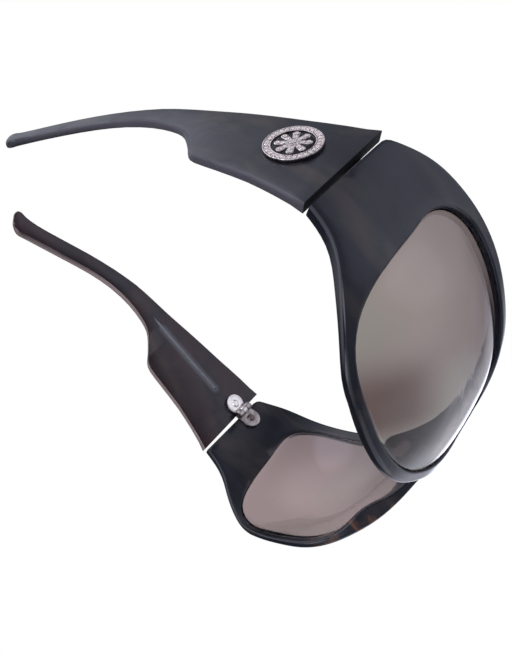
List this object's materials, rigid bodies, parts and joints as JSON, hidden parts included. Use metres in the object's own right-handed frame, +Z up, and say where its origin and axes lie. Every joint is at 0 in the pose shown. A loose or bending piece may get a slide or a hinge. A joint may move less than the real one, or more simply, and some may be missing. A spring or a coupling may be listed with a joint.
{
  "type": "sunglasses",
  "caption": "Wrapped sunglasses with two domed tinted lenses and wide stepped temples that fold inwards on screw hinges.",
  "frame": {"origin": "on the ground, in the middle of the bounding box, as the pair stands on its rims and temple tips", "axes": "+X towards the wearer's left temple, -Y the way the lenses look, +Z up"},
  "size_m": [0.137, 0.1556, 0.0594],
  "materials": {
    "frame_plastic": "polished dark mottled brown",
    "temple_plastic": "satin dark mottled brown",
    "tinted_lens": "warm grey-brown tint",
    "core_wire": "drawn wire",
    "hinge_metal": "bright",
    "screw_steel": "turned",
    "rivet_steel": "turned",
    "black_enamel": "black enamel",
    "badge_metal": "silvery pink",
    "cut_stones": "clear cut glass"
  },
  "bodies": {
    "front": {"front_frame": "frame_plastic", "lens_right": "tinted_lens", "lens_left": "tinted_lens", "hinge_front_right": "hinge_metal", "hinge_front_left": "hinge_metal", "hinge_screw_right": "screw_steel", "hinge_screw_left": "screw_steel", "front_rivet_right": "rivet_steel", "front_rivet_left": "rivet_steel"},
    "temple_right": {"temple_right": "temple_plastic", "core_wire_right": "core_wire", "hinge_temple_right": "hinge_metal", "temple_rivet_right": "rivet_steel", "badge_base_right": "black_enamel", "badge_ring_right": "badge_metal", "badge_rosette_right": "badge_metal", "badge_stones_right": "cut_stones"},
    "temple_left": {"temple_left": "temple_plastic", "core_wire_left": "core_wire", "hinge_temple_left": "hinge_metal", "temple_rivet_left": "rivet_steel", "badge_base_left": "black_enamel", "badge_ring_left": "badge_metal", "badge_rosette_left": "badge_metal", "badge_stones_left": "cut_stones"}
  },
  "joints": [
    {"name": "fold_left", "type": "hinge", "parent": "front", "child": "temple_left", "pos_m": [0.06197, -0.01542, 0.03807], "axis": [0.0698, 0.1552, 0.9854], "range_deg": [-15, 70]},
    {"name": "fold_right", "type": "hinge", "parent": "front", "child": "temple_right", "pos_m": [-0.06197, -0.01542, 0.03807], "axis": [0.0698, -0.1552, -0.9854], "range_deg": [-15, 60]}
  ]
}
